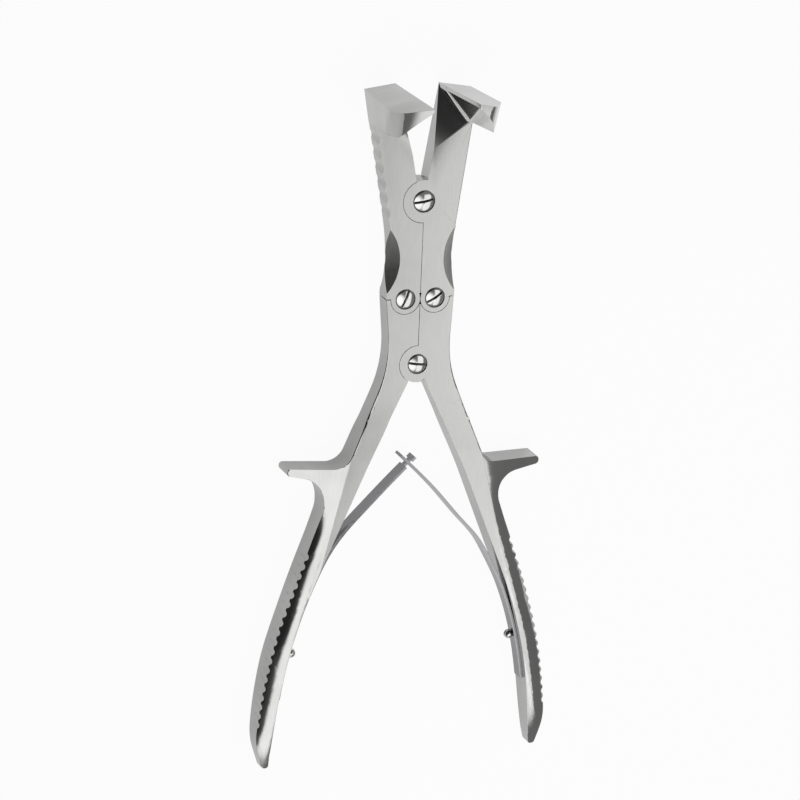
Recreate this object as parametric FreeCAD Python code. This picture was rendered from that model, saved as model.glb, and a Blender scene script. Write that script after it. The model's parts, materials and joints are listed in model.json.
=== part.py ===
# Bone cutting forceps with a double-action joint and angled cutting jaws.
# Lengths are millimetres and angles are degrees.
# Modelling frame: X to the right, Y from the handles to the jaws, Z towards the viewer,
# with the handle pivot's axis at X 0, Y 0 and the middle of the plates at Z 0.
import FreeCAD, Part

import math
import os
from dataclasses import dataclass

Vector = FreeCAD.Vector

# Plates and fits
PLATE = 8.2
LAP_GAP = 0.1
SEAM_GAP = 0.16
LUG_GAP = 0.15
TURN_GAP = 0.05
OPEN_PIVOT_GAP = 0.12
THREAD_GAP = 0.01
SHOULDER_GAP = 0.15

# Linkage: four pivots in a kite
LINK_HALF_SPAN = 6.1
LINK_RISE = 26.75
JAW_PIVOT_RISE = 66.0
JAW_LUG_RADIUS = 8.6
LINK_LUG_RADIUS = 6.0
HANDLE_LUG_RADIUS = 7.5
CUSP_TRIM = 2.25

# Pivot screws
SCREW_SHANK_RADIUS = 2.4
JAW_SCREW_HEAD_RADIUS = 4.1
SCREW_HEAD_RADIUS = 3.7
SCREW_HEAD_DEPTH = 1.6
SCREW_DOME_HEIGHT = 0.55
SCREW_RECESS_LIP = 0.35
SCREW_HEAD_GAP = 0.1
SCREW_SLOT_WIDTH = 0.9
SCREW_SLOT_DEPTH = 0.8

# Jaw arms
SHANK_HALF_WIDTH = 14.05
ARM_FOOT_HALF_WIDTH = 13.5
ARM_FOOT_RISE = 55.5
CROTCH_STEP = 2.0
SCALLOP_RISE = 42.7
SCALLOP_EDGE_RADIUS = 20.0
SCALLOP_EDGE_X = 9.05
SCALLOP_RIM_X = 13.75

# Cutting heads
BLADE_LENGTH = 44.5
BEVEL_STRIP = 1.6
BEVEL_STRIP_SET = 0.4
HEAD_LAND = 3.2
NOSE_SIDE_SHARE = 0.7
NOSE_SIDE_TURN = 4.0
CUT_MARGIN = 2.0
RUNOUT_LENGTH = 25.0

# Flutes on the left arm's outer side
FLUTE_COUNT = 6
FLUTE_FIRST_RISE = 61.8
FLUTE_PITCH = 6.0
FLUTE_RADIUS = 3.9
FLUTE_DEPTH = 0.75
FLUTE_TILT = 4.0

# Handles
NECK_FOOT = -9.0
REST_TIP_RADIUS = 1.4
REST_TIP_HEIGHT = 3.0
WAIST_Y = -57.5
WAIST_RADIUS = 10.0
HANDLE_END = -164.3
HANDLE_END_WIDTH = 2.6
HANDLE_END_RADIUS = 1.2
PLAN_DEPTH = 9.0

# Serrations on the outer side of the grips
SERRATION_COUNT = 19
SERRATION_FIRST = -75.0
SERRATION_PITCH = 3.85
SERRATION_RADIUS = 1.7
SERRATION_DEPTH = 0.5
SERRATION_TILT = 8.0
SERRATION_FADE = 6.0

# Leaf springs and their screws
SPRING_WIDTH = 6.2
SPRING_ROOT_THICKNESS = 1.4
SPRING_TIP_THICKNESS = 1.2
SPRING_FOOT_Y = -135.6
SPRING_FLAT_Y = -126.0
SPRING_SCREW_Y = -116.8
SPRING_SCREW_RADIUS = 1.3
SPRING_SCREW_DEPTH = 6.0
SPRING_HEAD_RADIUS = 1.9
SPRING_HEAD_HEIGHT = 3.2
SPRING_HEAD_SLOT = 0.7
SPRING_HOLE_GAP = 0.1
SPRING_SEAT_GAP = 0.02
SPRING_CUT_REACH = 4.0
SLOT_WIDTH = 3.2
SLOT_LENGTH = 6.4
SLOT_TIP_LAND = 1.6
TONGUE_NECK_WIDTH = 2.4
TONGUE_NECK_BELOW = 1.9
TONGUE_NECK_ABOVE = 1.4
TONGUE_HEAD_WIDTH = 5.6
CROSSING_X = -1.25
CROSSING_Y = -41.35
CROSSING_LEAN = 46.0
SLOTTED_OVERRUN = 5.1
TONGUE_OVERRUN = 3.5

HALF_PLATE = PLATE / 2
HALF_SEAM = SEAM_GAP / 2
HALF_LAP = LAP_GAP / 2
FRONT, BACK = 1, -1


@dataclass(frozen=True)
class JawShape:
    """What differs between the two hand-ground jaws, on the side where outward is +X."""

    edge_x: float
    edge_rise: float
    top_width: float
    top_fall: float
    outer_lean: float
    outer_flare: float
    outer_height: float
    front_lean: float
    front_height: float
    front_drop: float
    front_land: float
    nose_side: tuple
    nose_front: tuple
    nose_setback: float
    lift: float
    crotch_x: float
    crotch_rise: float
    lug_side: int


@dataclass(frozen=True)
class HandleShape:
    """What differs between the two handles, on the side where outward is +X.

    Corners are (x, y, fillet radius) and the spring's seat is a row of (y, gap to the handle).
    """

    neck_waist: tuple
    crotch_bend: tuple
    inner_bend: tuple
    inner_toe: tuple
    rest_corner: tuple
    rest_tip: tuple
    rest_root: tuple
    outer_bend: tuple
    outer_toe: tuple
    end_x: float
    crease_shift: float
    spring_seat: tuple
    spring_span: tuple
    spring_overrun: float
    crossing_x: float
    lug_side: int


@dataclass(frozen=True)
class Station:
    """One cross-section of a handle, at height y, below the neck.

    half_depth is the flat front's height above the mid plane, crease the X where the flat
    ends, and far and far_depth the end of the falling surface outside it, which rises by
    crown in its middle.
    """

    y: float
    half_depth: float
    crease: float
    far: float
    far_depth: float
    crown: float


RIGHT_JAW = JawShape(
    edge_x=7.1,
    edge_rise=111.3,
    top_width=13.6,
    top_fall=9.7,
    outer_lean=1.0,
    outer_flare=1.5,
    outer_height=12.5,
    front_lean=1.6,
    front_height=12.6,
    front_drop=0.5,
    front_land=1.2,
    nose_side=(30.0, 8.0),
    nose_front=(6.8, 44.5, 5.0),
    nose_setback=0.1,
    lift=3.0,
    crotch_x=1.25,
    crotch_rise=74.6,
    lug_side=FRONT,
)
LEFT_JAW = JawShape(
    edge_x=10.9,
    edge_rise=111.8,
    top_width=12.8,
    top_fall=7.2,
    outer_lean=-0.65,
    outer_flare=2.0,
    outer_height=13.6,
    front_lean=0.4,
    front_height=11.4,
    front_drop=1.4,
    front_land=2.6,
    nose_side=(32.0, 5.0),
    nose_front=(11.4, 38.8, 5.0),
    nose_setback=0.5,
    lift=1.0,
    crotch_x=3.5,
    crotch_rise=74.6,
    lug_side=BACK,
)
RIGHT_HANDLE = HandleShape(
    neck_waist=(12.7, 0.2, 50.0),
    crotch_bend=(20.9, -43.8, 200.0),
    inner_bend=(48.9, -113.3, 196.0),
    inner_toe=(54.0, -159.5, 8.0),
    rest_corner=(30.0, -42.1, 5.5),
    rest_tip=(52.8, -41.3),
    rest_root=(35.9, -47.9, 9.0),
    outer_bend=(56.7, -114.9, 230.0),
    outer_toe=(60.4, -153.0, 25.0),
    end_x=56.1,
    crease_shift=-0.6,
    spring_seat=((-106.0, 0.2), (-98.0, 0.5), (-90.0, 1.0), (-83.0, 1.8)),
    spring_span=((30.2, -76.5), (21.0, -65.7), (11.8, -54.9)),
    spring_overrun=SLOTTED_OVERRUN,
    crossing_x=CROSSING_X,
    lug_side=FRONT,
)
LEFT_HANDLE = HandleShape(
    neck_waist=(11.6, 0.2, 50.0),
    crotch_bend=(18.4, -37.5, 200.0),
    inner_bend=(52.2, -114.8, 215.0),
    inner_toe=(56.1, -159.0, 6.0),
    rest_corner=(28.4, -40.9, 8.0),
    rest_tip=(53.1, -38.9),
    rest_root=(37.4, -45.3, 11.0),
    outer_bend=(59.9, -120.5, 185.0),
    outer_toe=(62.1, -152.5, 25.0),
    end_x=57.3,
    crease_shift=0.6,
    spring_seat=((-106.0, 0.1), (-95.0, 0.2), (-85.0, 0.4), (-76.4, 0.9)),
    spring_span=((26.8, -67.1), (18.0, -57.9), (8.8, -48.6)),
    spring_overrun=TONGUE_OVERRUN,
    crossing_x=-CROSSING_X,
    lug_side=BACK,
)

STATIONS = (
    Station(-9.0, 4.1, 21.0, 26.0, 4.1, 0.0),
    Station(-24.0, 4.9, 20.0, 30.0, 4.3, 0.1),
    Station(-38.0, 5.7, 27.0, 58.0, 5.0, 0.2),
    Station(-47.0, 5.8, 29.2, 57.0, 4.7, 0.3),
    Station(-60.0, 5.9, 32.6, 41.0, 4.3, 0.5),
    Station(-77.0, 6.1, 36.9, 45.5, 4.2, 0.9),
    Station(-94.0, 6.2, 42.0, 51.0, 4.1, 1.1),
    Station(-112.0, 6.2, 47.6, 56.8, 4.1, 1.1),
    Station(-132.0, 6.1, 51.8, 61.2, 4.0, 1.0),
    Station(-150.0, 5.3, 54.3, 62.6, 3.4, 0.8),
    Station(-160.0, 3.9, 55.2, 61.0, 2.4, 0.4),
    Station(-166.0, 2.2, 55.9, 59.0, 1.5, 0.2),
)


def rounded_wire(corners):
    """Returns a closed wire in the XY plane through (x, y, radius) corners, filleted."""
    count = len(corners)
    starts = []
    edges = []
    for i in range(count):
        before = Vector(*corners[i - 1][:2], 0)
        here = Vector(*corners[i][:2], 0)
        after = Vector(*corners[(i + 1) % count][:2], 0)
        radius = corners[i][2]
        if radius == 0:
            starts.append((here, None, here))
            continue
        into = (before - here).normalize()
        out = (after - here).normalize()
        half = into.getAngle(out) / 2
        reach = radius / math.tan(half)
        centre = here + (into + out).normalize() * (radius / math.sin(half))
        middle = centre + (here - centre).normalize() * radius
        starts.append((here + into * reach, middle, here + out * reach))
    for i in range(count):
        first, middle, last = starts[i]
        following = starts[(i + 1) % count][0]
        if middle is not None:
            edges.append(Part.Arc(first, middle, last).toShape())
        if (following - last).Length > 1e-6:
            edges.append(Part.LineSegment(last, following).toShape())
    return Part.Wire(edges)


def prism(corners, low, high):
    """Returns the solid over rounded corners in XY, from Z low to Z high."""
    face = Part.Face(rounded_wire(corners))
    face.translate(Vector(0, 0, low))
    return face.extrude(Vector(0, 0, high - low))


def rod(x, y, radius, low, high):
    """Returns an upright cylinder about (x, y)."""
    return Part.makeCylinder(radius, high - low, Vector(x, y, low))


def mirrored(shape):
    """Returns the shape on the other side of the YZ plane."""
    return shape.mirror(Vector(0, 0, 0), Vector(1, 0, 0))


def lapped(plate, x, y, radius, side):
    """Returns a plate with a half-thickness round lug about (x, y) on one side.

    The other half of the thickness is cut back for the mating lug.
    """
    reach = radius + LUG_GAP
    if side == FRONT:
        pocket = rod(x, y, reach, -PLATE, HALF_LAP)
        lug = rod(x, y, radius, HALF_LAP, HALF_PLATE)
    else:
        pocket = rod(x, y, reach, -HALF_LAP, PLATE)
        lug = rod(x, y, radius, -HALF_PLATE, -HALF_LAP)
    return plate.cut(pocket).fuse(lug)


def bored_front(piece, x, y, head_radius, gap):
    """Returns a piece with the running bore and the recess of a screw's head."""
    bore = rod(x, y, SCREW_SHANK_RADIUS + gap, -PLATE, PLATE)
    floor = HALF_PLATE - SCREW_HEAD_DEPTH - SCREW_HEAD_GAP
    recess = rod(x, y, head_radius + SCREW_HEAD_GAP, floor, PLATE)
    lip = Part.makeCone(
        head_radius + SCREW_HEAD_GAP,
        head_radius + SCREW_HEAD_GAP + SCREW_RECESS_LIP,
        SCREW_RECESS_LIP,
        Vector(x, y, HALF_PLATE - SCREW_RECESS_LIP),
    )
    return piece.cut(bore).cut(recess).cut(lip)


def bored_back(piece, x, y):
    """Returns a piece with the threaded hole of a screw's shank."""
    return piece.cut(rod(x, y, SCREW_SHANK_RADIUS + THREAD_GAP, -PLATE, PLATE))


def pivot_screw(x, y, head_radius, slot_angle):
    """Returns a pivot screw with a domed, slotted head sunk in the front face."""
    seat = HALF_PLATE - SCREW_HEAD_DEPTH
    rim = HALF_PLATE - SCREW_DOME_HEIGHT / 2
    shank = rod(x, y, SCREW_SHANK_RADIUS, -HALF_PLATE, seat)
    head = rod(x, y, head_radius, seat, rim)
    ball_radius = (head_radius**2 + SCREW_DOME_HEIGHT**2) / (2 * SCREW_DOME_HEIGHT)
    ball = Part.makeSphere(ball_radius, Vector(x, y, rim + SCREW_DOME_HEIGHT - ball_radius))
    dome = ball.common(rod(x, y, head_radius, rim, rim + SCREW_DOME_HEIGHT))
    slot = Part.makeBox(
        4 * head_radius,
        SCREW_SLOT_WIDTH,
        SCREW_SLOT_DEPTH + PLATE,
        Vector(x - 2 * head_radius, y - SCREW_SLOT_WIDTH / 2, rim + SCREW_DOME_HEIGHT - SCREW_SLOT_DEPTH),
    )
    slot.rotate(Vector(x, y, 0), Vector(0, 0, 1), slot_angle)
    return shank.fuse(head).fuse(dome).cut(slot).removeSplitter()


def scallop_ball(side):
    """Returns the ball that hollows the shank's outer edge on one face."""
    centre_x = SCALLOP_EDGE_X + SCALLOP_EDGE_RADIUS
    rim_radius = centre_x - SCALLOP_RIM_X
    rise = (SCALLOP_EDGE_RADIUS**2 - rim_radius**2 + HALF_PLATE**2) / PLATE
    radius = math.hypot(SCALLOP_EDGE_RADIUS, rise - HALF_PLATE)
    return Part.makeSphere(radius, Vector(centre_x, SCALLOP_RISE, side * rise))


def head_to_place(shape, jaw):
    """Moves a shape from the head's own frame, cutting edge at the origin, to the jaw."""
    shape.rotate(Vector(0, 0, 0), Vector(0, 0, 1), -jaw.top_fall)
    shape.translate(Vector(jaw.edge_x, jaw.edge_rise, -HALF_PLATE))
    return shape


def relief_corners(jaw):
    """Returns the head's section corners: edge, strip end, land's inner and outer end."""
    outer = jaw.top_width + jaw.outer_lean
    return (
        (0.0, 0.0),
        (BEVEL_STRIP_SET, -BEVEL_STRIP),
        (outer - HEAD_LAND, -jaw.outer_height),
        (outer, -jaw.outer_height),
    )


def back_section(jaw):
    """Returns the head's section wire where it leaves the arm."""
    edge, strip, land_in, land_out = relief_corners(jaw)
    return rounded_wire([(*p, 0) for p in (edge, strip, land_in, land_out, (jaw.top_width, 0))])


def front_section(jaw):
    """Returns the head's section wire at the blade's full length, flared and lower outside."""
    edge, strip, _, _ = relief_corners(jaw)
    outer = jaw.top_width + BLADE_LENGTH * math.tan(math.radians(jaw.outer_flare))
    foot = outer + jaw.front_lean
    corners = [
        edge,
        strip,
        (foot - jaw.front_land, -jaw.front_height),
        (foot, -jaw.front_height),
        (outer, -jaw.front_drop),
    ]
    wire = rounded_wire([(*corner, 0) for corner in corners])
    wire.translate(Vector(0, BLADE_LENGTH * math.tan(math.radians(jaw.lift)), BLADE_LENGTH))
    return wire


def nose_outline(jaw, height):
    """Returns the head's plan outline at a height above its top, seen along the jaws."""
    side_x = jaw.top_width + BLADE_LENGTH * math.tan(math.radians(jaw.outer_flare)) * NOSE_SIDE_SHARE
    side_depth, side_radius = jaw.nose_side
    front_x, front_depth, front_radius = jaw.nose_front
    set_back = height * jaw.nose_setback
    outside = side_x + (side_depth + CUT_MARGIN) / NOSE_SIDE_TURN
    slope = (BLADE_LENGTH - front_depth) / front_x
    corners = [
        (-CUT_MARGIN, -CUT_MARGIN, 0),
        (outside, -CUT_MARGIN, 0),
        (side_x, set_back + side_depth, side_radius),
        (front_x, set_back + front_depth, front_radius),
        (-CUT_MARGIN, set_back + BLADE_LENGTH + slope * CUT_MARGIN, 0),
    ]
    wire = rounded_wire(corners)
    wire.rotate(Vector(0, 0, 0), Vector(1, 0, 0), 90)
    wire.translate(Vector(0, height, 0))
    return wire


def cutting_head(jaw):
    """Returns the wedge-shaped head that stands forward from the arm."""
    head = Part.makeLoft([back_section(jaw), front_section(jaw)], True, True)
    below = -jaw.outer_height - HEAD_LAND
    mask = Part.makeLoft([nose_outline(jaw, HEAD_LAND), nose_outline(jaw, below)], True, True)
    return head_to_place(head.common(mask), jaw)


def relief_runout(jaw):
    """Returns the cut that hollows the arm's inner front corner below the head."""
    _, strip, land_in, _ = relief_corners(jaw)
    corners = [
        (0, 0, 0),
        (*strip, 0),
        (*land_in, 0),
        (land_in[0], -RUNOUT_LENGTH - 8, 0),
        (-12, -RUNOUT_LENGTH - 8, 0),
        (-12, 0, 0),
    ]
    below = prism(corners, -1, PLATE + 2)
    deep = Vector(0, 0, 0)
    low = Vector(0, -RUNOUT_LENGTH, PLATE)
    side = Vector(land_in[0], land_in[1], PLATE)
    normal = (low - deep).cross(side - deep).normalize()
    front = Part.makePlane(200, 200, Vector(0, 0, 0), Vector(0, 0, 1))
    front.translate(Vector(-100, -100, 0))
    front.Placement = FreeCAD.Placement(deep, FreeCAD.Rotation(Vector(0, 0, 1), normal)) * front.Placement
    return head_to_place(below.common(front.extrude(normal * 60)), jaw)


def jaw_arm(jaw):
    """Returns the flat plate of a jaw, from the shank's foot to the head's top."""
    outer_x = jaw.edge_x + jaw.top_width * math.cos(math.radians(jaw.top_fall))
    outer_y = jaw.edge_rise - jaw.top_width * math.sin(math.radians(jaw.top_fall))
    shoulder = LINK_RISE + SHOULDER_GAP + HALF_LAP
    corners = [
        (HALF_SEAM, LINK_RISE + CUSP_TRIM, 0),
        (LINK_HALF_SPAN, LINK_RISE + CUSP_TRIM, 0),
        (LINK_HALF_SPAN, shoulder + SHOULDER_GAP, 0),
        (SHANK_HALF_WIDTH, shoulder + SHOULDER_GAP, 0),
        (SHANK_HALF_WIDTH - 0.15, ARM_FOOT_RISE - 6, 0),
        (ARM_FOOT_HALF_WIDTH, ARM_FOOT_RISE, 0),
        (outer_x, outer_y, 0),
        (jaw.edge_x, jaw.edge_rise, 0),
        (jaw.crotch_x, jaw.crotch_rise, 0),
        (HALF_SEAM, JAW_PIVOT_RISE + CROTCH_STEP, 0),
    ]
    return prism(corners, -HALF_PLATE, HALF_PLATE)


def jaw_body(jaw):
    """Returns one jaw with its lugs, scallops and cutting head, before its bores."""
    arm = jaw_arm(jaw).cut(relief_runout(jaw))
    arm = arm.cut(scallop_ball(FRONT)).cut(scallop_ball(BACK))
    body = arm.fuse(cutting_head(jaw))
    body = lapped(body, 0, JAW_PIVOT_RISE, JAW_LUG_RADIUS, jaw.lug_side)
    return lapped(body, LINK_HALF_SPAN, LINK_RISE, LINK_LUG_RADIUS, FRONT)


def right_jaw():
    """Returns the right jaw, whose pivot lug lies in front."""
    body = bored_front(jaw_body(RIGHT_JAW), 0, JAW_PIVOT_RISE, JAW_SCREW_HEAD_RADIUS, OPEN_PIVOT_GAP)
    return bored_front(body, LINK_HALF_SPAN, LINK_RISE, SCREW_HEAD_RADIUS, TURN_GAP).removeSplitter()


def left_jaw():
    """Returns the left jaw, whose pivot lug lies behind and whose outer side is fluted."""
    body = jaw_body(LEFT_JAW)
    body = bored_back(body, 0, JAW_PIVOT_RISE)
    body = bored_front(body, LINK_HALF_SPAN, LINK_RISE, SCREW_HEAD_RADIUS, TURN_GAP)
    top_x = LEFT_JAW.edge_x + LEFT_JAW.top_width
    lean = (top_x - ARM_FOOT_HALF_WIDTH) / (LEFT_JAW.edge_rise - ARM_FOOT_RISE)
    for i in range(FLUTE_COUNT):
        y = FLUTE_FIRST_RISE + i * FLUTE_PITCH
        x = ARM_FOOT_HALF_WIDTH + lean * (y - ARM_FOOT_RISE) + FLUTE_RADIUS - FLUTE_DEPTH
        flute = rod(x, y, FLUTE_RADIUS, -PLATE, 2 * PLATE)
        flute.rotate(Vector(x, y, HALF_PLATE), Vector(0, 1, 0), -FLUTE_TILT)
        body = body.cut(flute)
    return mirrored(body.removeSplitter())


def handle_plan(handle):
    """Returns the rounded outline of a handle, from the link's shoulder to its end."""
    tip_x, tip_y = handle.rest_tip
    return [
        (HALF_SEAM, LINK_RISE - CUSP_TRIM, 0),
        (LINK_HALF_SPAN, LINK_RISE - CUSP_TRIM, 0),
        (LINK_HALF_SPAN, LINK_RISE + HALF_LAP, 0),
        (SHANK_HALF_WIDTH, LINK_RISE + HALF_LAP, 0),
        handle.neck_waist,
        handle.rest_corner,
        (tip_x, tip_y, REST_TIP_RADIUS),
        (tip_x - 0.2, tip_y - REST_TIP_HEIGHT, REST_TIP_RADIUS),
        handle.rest_root,
        (handle.rest_root[0], WAIST_Y, WAIST_RADIUS),
        handle.outer_bend,
        handle.outer_toe,
        (handle.end_x + HANDLE_END_WIDTH / 2, HANDLE_END, HANDLE_END_RADIUS),
        (handle.end_x - HANDLE_END_WIDTH / 2, HANDLE_END, HANDLE_END_RADIUS),
        handle.inner_toe,
        handle.inner_bend,
        handle.crotch_bend,
        (HALF_SEAM, 0.3, 0),
    ]


def station_wire(station, shift):
    """Returns the closed section of the handle's depth envelope at one station."""
    inner = -4.0
    crease = station.crease + shift
    far = station.far + shift
    high = station.half_depth
    low = station.far_depth
    middle_x = (crease + far) / 2
    middle_z = (high + low) / 2 + station.crown
    points = {
        "inner_front": Vector(inner, station.y, high),
        "crease_front": Vector(crease, station.y, high),
        "far_front": Vector(far, station.y, low),
        "far_back": Vector(far, station.y, -low),
        "crease_back": Vector(crease, station.y, -high),
        "inner_back": Vector(inner, station.y, -high),
    }
    crown_front = Vector(middle_x, station.y, middle_z + 0.001)
    crown_back = Vector(middle_x, station.y, -middle_z - 0.001)
    edges = [
        Part.LineSegment(points["inner_front"], points["crease_front"]),
        Part.Arc(points["crease_front"], crown_front, points["far_front"]),
        Part.LineSegment(points["far_front"], points["far_back"]),
        Part.Arc(points["far_back"], crown_back, points["crease_back"]),
        Part.LineSegment(points["crease_back"], points["inner_back"]),
        Part.LineSegment(points["inner_back"], points["inner_front"]),
    ]
    return Part.Wire([edge.toShape() for edge in edges])


def depth_envelope(handle):
    """Returns the solid between the handle's crowned front and back surfaces."""
    return Part.makeLoft([station_wire(s, handle.crease_shift) for s in STATIONS], True, False)


def wall_x(handle, y, inner):
    """Returns the X of the grip's inner or outer wall at a height y."""
    outline = rounded_wire(handle_plan(handle))
    hits = outline.distToShape(Part.makeLine(Vector(5, y, 0), Vector(90, y, 0)))[1]
    found = [pair[0].x for pair in hits]
    return min(found) if inner else max(found)


def wall_frame(handle, y):
    """Returns the inner wall's point at a height y and the direction away from the metal."""
    point = Vector(wall_x(handle, y, True), y, 0)
    step = 0.5
    across = wall_x(handle, y + step, True) - wall_x(handle, y - step, True)
    return point, Vector(-2 * step, across, 0).normalize()


def serrated(body, handle):
    """Returns the handle with crescent grooves across the grip's outer side."""
    for i in range(SERRATION_COUNT):
        y = SERRATION_FIRST - i * SERRATION_PITCH
        x = wall_x(handle, y, False)
        cutter = rod(x + SERRATION_RADIUS - SERRATION_DEPTH, y, SERRATION_RADIUS, -PLATE, 2 * PLATE)
        cutter.rotate(Vector(x, y, HALF_PLATE), Vector(0, 1, 0), -SERRATION_FADE)
        cutter.rotate(Vector(x, y, 0), Vector(1, 0, 0), SERRATION_TILT)
        body = body.cut(cutter)
    return body


def handle_body(handle):
    """Returns one handle with its lugs and finger rest, before its bores."""
    plan = prism(handle_plan(handle), -PLAN_DEPTH, PLAN_DEPTH)
    neck = plan.common(Part.makeBox(60, 60, PLATE, Vector(-10, NECK_FOOT, -HALF_PLATE)))
    grip = plan.common(depth_envelope(handle))
    body = neck.fuse(grip)
    body = serrated(body, handle)
    body = lapped(body, 0, 0, HANDLE_LUG_RADIUS, handle.lug_side)
    return lapped(body, LINK_HALF_SPAN, LINK_RISE, LINK_LUG_RADIUS, BACK)


def crossing_frame(handle):
    """Returns the point where the springs cross and the direction towards the spring's tip."""
    lean = math.radians(CROSSING_LEAN)
    return Vector(handle.crossing_x, CROSSING_Y, 0), Vector(-math.sin(lean), math.cos(lean), 0)


def spring_points(handle):
    """Returns points along the leaf spring's middle, from its foot to its tip."""
    seat = tuple((y, SPRING_SEAT_GAP) for y in (SPRING_FOOT_Y, SPRING_FLAT_Y, SPRING_SCREW_Y))
    points = []
    for y, gap in seat + handle.spring_seat:
        wall, away = wall_frame(handle, y)
        points.append(wall + away * (gap + SPRING_ROOT_THICKNESS / 2))
    for x, y in handle.spring_span:
        points.append(Vector(x, y, 0))
    crossing, lean = crossing_frame(handle)
    points.append(crossing)
    points.append(crossing + lean * handle.spring_overrun)
    return points


def leaf(handle):
    """Returns a leaf spring's strip, thinner towards its tip."""
    curve = Part.BSplineCurve()
    curve.interpolate(spring_points(handle))
    start, end = curve.FirstParameter, curve.LastParameter
    steps = 16
    inner = []
    outer = []
    for i in range(steps + 1):
        along = start + (end - start) * i / steps
        point = curve.value(along)
        tangent = Vector(*curve.tangent(along)[0])
        normal = Vector(tangent.y, -tangent.x, 0).normalize()
        half = (SPRING_ROOT_THICKNESS + (SPRING_TIP_THICKNESS - SPRING_ROOT_THICKNESS) * i / steps) / 2
        outer.append(point + normal * half)
        inner.append(point - normal * half)
    sides = []
    for points in (outer, inner):
        side = Part.BSplineCurve()
        side.interpolate(points)
        sides.append(side.toShape())
    caps = [Part.makeLine(outer[0], inner[0]), Part.makeLine(outer[-1], inner[-1])]
    face = Part.Face(Part.Wire(Part.__sortEdges__(sides + caps)))
    face.translate(Vector(0, 0, -SPRING_WIDTH / 2))
    return face.extrude(Vector(0, 0, SPRING_WIDTH))


def spring_screw_frame(handle):
    """Returns the spring's middle point at its screw and the direction away from the grip."""
    wall, away = wall_frame(handle, SPRING_SCREW_Y)
    return wall + away * (SPRING_SEAT_GAP + SPRING_ROOT_THICKNESS / 2), away


def across_tip(handle, start, length, low, high):
    """Returns a block across the spring's tip, from start to start + length past the crossing."""
    crossing, lean = crossing_frame(handle)
    block = Part.makeBox(2 * SPRING_CUT_REACH, length, high - low, Vector(-SPRING_CUT_REACH, start, low))
    block.rotate(Vector(0, 0, 0), Vector(0, 0, 1), math.degrees(math.atan2(-lean.x, lean.y)))
    block.translate(crossing)
    return block


def spring_bore(handle, radius, depth):
    """Returns the cylinder along a spring screw, from beyond its head into the handle."""
    point, inward = spring_screw_frame(handle)
    start = point + inward * SPRING_CUT_REACH
    return Part.makeCylinder(radius, depth + SPRING_CUT_REACH, start, inward * -1)


def drilled(spring, handle):
    """Returns a leaf spring with the hole for its screw."""
    return spring.cut(spring_bore(handle, SPRING_SCREW_RADIUS + SPRING_HOLE_GAP, SPRING_CUT_REACH))


def right_spring():
    """Returns the right leaf spring, whose slotted tip takes the left one's tongue."""
    spring = drilled(leaf(RIGHT_HANDLE), RIGHT_HANDLE)
    start = SLOTTED_OVERRUN - SLOT_TIP_LAND - SLOT_LENGTH
    slot = across_tip(RIGHT_HANDLE, start, SLOT_LENGTH, -SLOT_WIDTH / 2, SLOT_WIDTH / 2)
    return spring.cut(slot)


def left_spring():
    """Returns the left leaf spring, whose tip is a tongue with a wider head."""
    spring = drilled(leaf(LEFT_HANDLE), LEFT_HANDLE)
    beyond = SPRING_WIDTH
    neck = TONGUE_NECK_BELOW + TONGUE_NECK_ABOVE
    for side in (FRONT, BACK):
        low, high = sorted((side * TONGUE_NECK_WIDTH / 2, side * beyond))
        spring = spring.cut(across_tip(LEFT_HANDLE, -TONGUE_NECK_BELOW, neck, low, high))
        low, high = sorted((side * TONGUE_HEAD_WIDTH / 2, side * beyond))
        spring = spring.cut(across_tip(LEFT_HANDLE, 0, TONGUE_OVERRUN + 2, low, high))
    return mirrored(spring)


def spring_screw(handle):
    """Returns a round-headed screw that holds a spring to the grip's inner side."""
    point, inward = spring_screw_frame(handle)
    seat = point + inward * (SPRING_ROOT_THICKNESS / 2)
    centre = SPRING_HEAD_HEIGHT - SPRING_HEAD_RADIUS
    foot = Vector(math.sqrt(SPRING_HEAD_RADIUS**2 - centre**2), 0, 0)
    widest = Vector(SPRING_HEAD_RADIUS, 0, centre)
    top = Vector(0, 0, SPRING_HEAD_HEIGHT)
    corners = [
        top,
        Vector(0, 0, -SPRING_SCREW_DEPTH),
        Vector(SPRING_SCREW_RADIUS, 0, -SPRING_SCREW_DEPTH),
        Vector(SPRING_SCREW_RADIUS, 0, 0),
        foot,
    ]
    edges = [Part.makeLine(a, b) for a, b in zip(corners, corners[1:])]
    edges.append(Part.Arc(foot, widest, top).toShape())
    screw = Part.Face(Part.Wire(edges)).revolve(Vector(0, 0, 0), Vector(0, 0, 1), 360)
    slot = Part.makeBox(SPRING_HEAD_SLOT, 4 * SPRING_HEAD_RADIUS, SPRING_HEAD_RADIUS)
    slot.translate(Vector(-SPRING_HEAD_SLOT / 2, -2 * SPRING_HEAD_RADIUS, SPRING_HEAD_HEIGHT * 0.6))
    screw = screw.cut(slot)
    screw.Placement = FreeCAD.Placement(seat, FreeCAD.Rotation(Vector(0, 0, 1), inward))
    return screw


def right_handle():
    """Returns the right handle, whose pivot lug lies in front."""
    body = handle_body(RIGHT_HANDLE)
    body = bored_front(body, 0, 0, SCREW_HEAD_RADIUS, TURN_GAP)
    body = bored_back(body, LINK_HALF_SPAN, LINK_RISE)
    bore = spring_bore(RIGHT_HANDLE, SPRING_SCREW_RADIUS + THREAD_GAP, SPRING_SCREW_DEPTH)
    return body.cut(bore).removeSplitter()


def left_handle():
    """Returns the left handle, whose pivot lug lies behind."""
    body = handle_body(LEFT_HANDLE)
    body = bored_back(body, 0, 0)
    body = bored_back(body, LINK_HALF_SPAN, LINK_RISE)
    bore = spring_bore(LEFT_HANDLE, SPRING_SCREW_RADIUS + THREAD_GAP, SPRING_SCREW_DEPTH)
    return mirrored(body.cut(bore).removeSplitter())


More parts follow.
